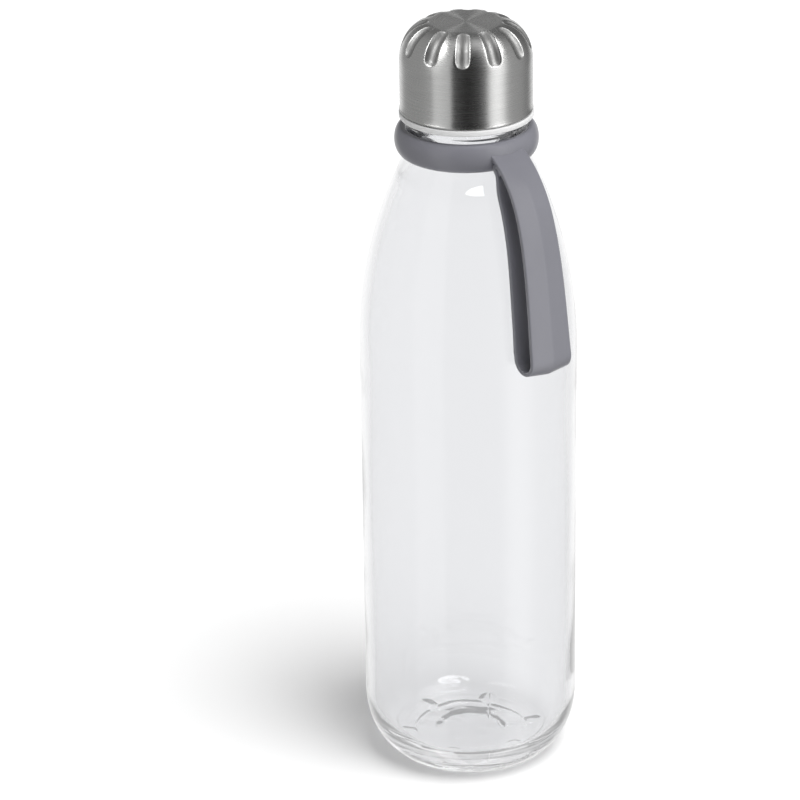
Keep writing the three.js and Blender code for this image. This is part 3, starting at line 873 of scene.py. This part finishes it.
# ---- Stage ----
# Brightness of the studio round the object, by direction in degrees from -Y towards +X:
# first as reflections see it, then as matt surfaces are lit by it.
STUDIO_BANDS = (
    (-180, 0.16),
    (-150, 0.16),
    (-120, 0.38),
    (-52, 0.38),
    (-49.5, 0.62),
    (-47, 0.76),
    (-18, 0.64),
    (-14, 0.08),
    (12, 0.03),
    (30, 0.06),
    (44, 0.2),
    (54, 1.1),
    (66, 1.35),
    (76, 1.1),
    (84, 0.62),
    (92, 0.46),
    (120, 0.40),
    (150, 0.16),
    (180, 0.16),
)
STUDIO_FILL = (
    (-180, 0.34),
    (-100, 0.26),
    (-30, 0.22),
    (10, 0.6),
    (45, 1.6),
    (90, 1.5),
    (125, 0.5),
    (180, 0.34),
)
THROUGH_GLASS = 0.3  # the share of that light that reaches a matt surface through the glass
CEILING = 0.6  # reflections see the bands dimmed to this overhead
BACKDROP = (190.8, -24)  # and the white sweep behind, which the edges of the glass mirror
FLOOR_HALF = 6.0  # metres
FLOOR_Z = -0.00005  # just under the foot, so that the two surfaces don't coincide

# The camera, in metres and degrees: where it stands, and how it is framed.
CAMERA_AZIMUTH = 10.83
CAMERA_ELEVATION = 24.22
CAMERA_DISTANCE = 1.238
LOOK_AT_Z = 0.1276
CAMERA_SIDEWAYS = -0.02281
CAMERA_UPWARDS = 0.0004
CAMERA_ROLL = 0.9


def toward(azimuth, elevation):
    """The direction at these angles, azimuth in degrees from -Y towards +X."""
    a, e = math.radians(azimuth), math.radians(elevation)
    return Vector((math.sin(a) * math.cos(e), -math.cos(a) * math.cos(e), math.sin(e)))


def build_world():
    """A white studio. Reflections see it as soft bands of light and dark round the object."""
    world = bpy.data.worlds.new("studio")
    bpy.context.scene.world = world
    world.use_nodes = True
    world.cycles.sampling_method = "NONE"
    tree = world.node_tree
    tree.nodes.clear()

    def add(kind, **values):
        node = tree.nodes.new(kind)
        for key, value in values.items():
            setattr(node, key, value)
        return node

    def feed(value, slot):
        if isinstance(value, (int, float)):
            slot.default_value = value
        else:
            tree.links.new(value, slot)

    def math_of(operation, a, b=0.0):
        node = add("ShaderNodeMath", operation=operation)
        feed(a, node.inputs[0])
        feed(b, node.inputs[1])
        return node.outputs[0]

    def remap(value, low, high, to_low, to_high):
        node = add("ShaderNodeMapRange", interpolation_type="SMOOTHSTEP")
        feed(value, node.inputs["Value"])
        for name, number in (
            ("From Min", low),
            ("From Max", high),
            ("To Min", to_low),
            ("To Max", to_high),
        ):
            node.inputs[name].default_value = number
        return node.outputs["Result"]

    def blend(factor, a, b):
        node = add("ShaderNodeMix", data_type="FLOAT")
        feed(factor, node.inputs[0])
        feed(a, node.inputs[2])
        feed(b, node.inputs[3])
        return node.outputs[0]

    place = add("ShaderNodeTexCoord").outputs["Generated"]
    parts = add("ShaderNodeSeparateXYZ")
    tree.links.new(place, parts.inputs[0])
    x, y, z = parts.outputs
    turn = math_of("ARCTAN2", x, math_of("MULTIPLY", y, -1.0))
    share = math_of("MULTIPLY_ADD", turn, 1 / (2 * math.pi))
    share.node.inputs[2].default_value = 0.5

    def band_of(stops):
        node = add("ShaderNodeValToRGB")
        tree.links.new(share, node.inputs[0])
        ramp = node.color_ramp
        ramp.elements[0].position, ramp.elements[1].position = 0, 1
        for element, (_, tone) in zip(ramp.elements, (stops[0], stops[-1])):
            element.color = (tone, tone, tone, 1)
        for degrees, tone in stops[1:-1]:
            element = ramp.elements.new((degrees + 180) / 360)
            element.color = (tone, tone, tone, 1)
        return node.outputs[0]

    def nearness(azimuth, elevation):
        aim = add("ShaderNodeVectorMath", operation="DOT_PRODUCT")
        tree.links.new(place, aim.inputs[0])
        aim.inputs[1].default_value = toward(azimuth, elevation)
        return aim.outputs["Value"]

    seen = math_of("MULTIPLY", band_of(STUDIO_BANDS), remap(z, 0.6, 0.9, 1.0, CEILING))
    seen = blend(remap(nearness(*BACKDROP), 0.7, 0.92, 0.0, 1.0), seen, 1.0)

    path = add("ShaderNodeLightPath")
    matt = math_of("GREATER_THAN", path.outputs["Diffuse Depth"], 0.5)
    fill = band_of(STUDIO_FILL)
    behind = blend(matt, remap(z, 0.2, 0.75, 1.0, 0.6), math_of("MULTIPLY", fill, THROUGH_GLASS))
    tone = blend(path.outputs["Is Glossy Ray"], fill, seen)
    tone = blend(path.outputs["Is Transmission Ray"], tone, behind)
    tone = blend(path.outputs["Is Camera Ray"], tone, 1.0)
    background = add("ShaderNodeBackground")
    tree.links.new(tone, background.inputs["Color"])
    tree.links.new(background.outputs[0], add("ShaderNodeOutputWorld").inputs["Surface"])


def build_floor():
    signs = ((-1, -1), (1, -1), (1, 1), (-1, 1))
    corners = [(a * FLOOR_HALF, b * FLOOR_HALF, FLOOR_Z) for a, b in signs]
    floor = new_object("floor", np.array(corners) / MM, [[0, 1, 2, 3]])
    floor.visible_glossy = False
    floor.data.materials.append(floor_material())


def sun_light(name, azimuth, elevation, spread, strength, only=None):
    """A distant lamp for matt surfaces, or a shadowless one that only glints on one piece."""
    light = bpy.data.lights.new(name, "SUN")
    light.angle = math.radians(spread)
    light.energy = strength
    lamp = bpy.data.objects.new(name, light)
    bpy.context.scene.collection.objects.link(lamp)
    lamp.rotation_euler = (-toward(azimuth, elevation)).to_track_quat("-Z", "Y").to_euler()
    lamp.visible_glossy = only is not None
    if only is not None:
        light.use_shadow = False
        lamp.visible_diffuse = lamp.visible_transmission = False
        lit = bpy.data.collections.new(name)
        lit.objects.link(only)
        lamp.light_linking.receiver_collection = lit
    return lamp


def build_camera():
    azimuth, roll = math.radians(CAMERA_AZIMUTH), math.radians(CAMERA_ROLL)
    camera = bpy.data.objects.new("camera", bpy.data.cameras.new("camera"))
    bpy.context.scene.collection.objects.link(camera)
    back = toward(CAMERA_AZIMUTH, CAMERA_ELEVATION)
    right = Vector((math.cos(azimuth), math.sin(azimuth), 0))
    up = back.cross(right)
    framing = right * CAMERA_SIDEWAYS, up * CAMERA_UPWARDS
    camera.location = Vector((0, 0, LOOK_AT_Z)) + back * CAMERA_DISTANCE + framing[0] + framing[1]
    tilted_right = right * math.cos(roll) - up * math.sin(roll)
    tilted_up = up * math.cos(roll) + right * math.sin(roll)
    camera.rotation_euler = Matrix((tilted_right, tilted_up, back)).transposed().to_euler()
    camera.data.lens = 167.2
    camera.data.sensor_width = 36
    camera.data.clip_end = 50
    bpy.context.scene.camera = camera


# ---- Assembly ----
def finish_piece(made, material, body, node):
    made.data.materials.clear()
    made.data.materials.append(material)
    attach(made, body)
    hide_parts(node)


polypropylene = moulded_material(
    "translucent polypropylene",
    (0.58, 0.58, 0.58),
    (0.64, 0.64, 0.64),
    0.38,
    900,
    Subsurface_Weight=0.35,
    Subsurface_Radius=(1, 1, 1),
    Subsurface_Scale=0.002,
)
seal_silicone = moulded_material(
    "clear silicone", (0.62, 0.62, 0.60), (0.70, 0.70, 0.68), 0.5, 900
)
grey_silicone = moulded_material(
    "satin grey silicone",
    (0.150, 0.150, 0.171),
    (0.166, 0.166, 0.189),
    0.31,
    1400,
    Specular_IOR_Level=0.85,
)

finish_piece(build_glass(), glass_material(), "bottle", "glass_bottle")
steel_cap = build_cap()
finish_piece(steel_cap, steel_material(), "cap", "cap_shell")
finish_piece(build_liner(), polypropylene, "cap", "cap_insert")
finish_piece(build_seal(), seal_silicone, "gasket", "cap_gasket")
finish_piece(build_collar(), grey_silicone, "ring", "neck_ring")
finish_piece(build_strap(), grey_silicone, "strap", "strap_loop")

build_world()
build_floor()
# Name, azimuth, elevation and spread in degrees, strength, and the one piece it glints on.
sun_light("key", 54, 69, 34, 2.5)
sun_light("glint left", -63, 50, 26, 1.1, steel_cap)
sun_light("glint right", 85, 50, 26, 1.1, steel_cap)
sun_light("glint above", 20, 84, 40, 0.2, steel_cap)
build_camera()
bpy.context.scene.view_settings.view_transform = "Standard"
# Light turns many times inside the thick glass of the base.
bpy.context.scene.cycles.glossy_bounces = 12
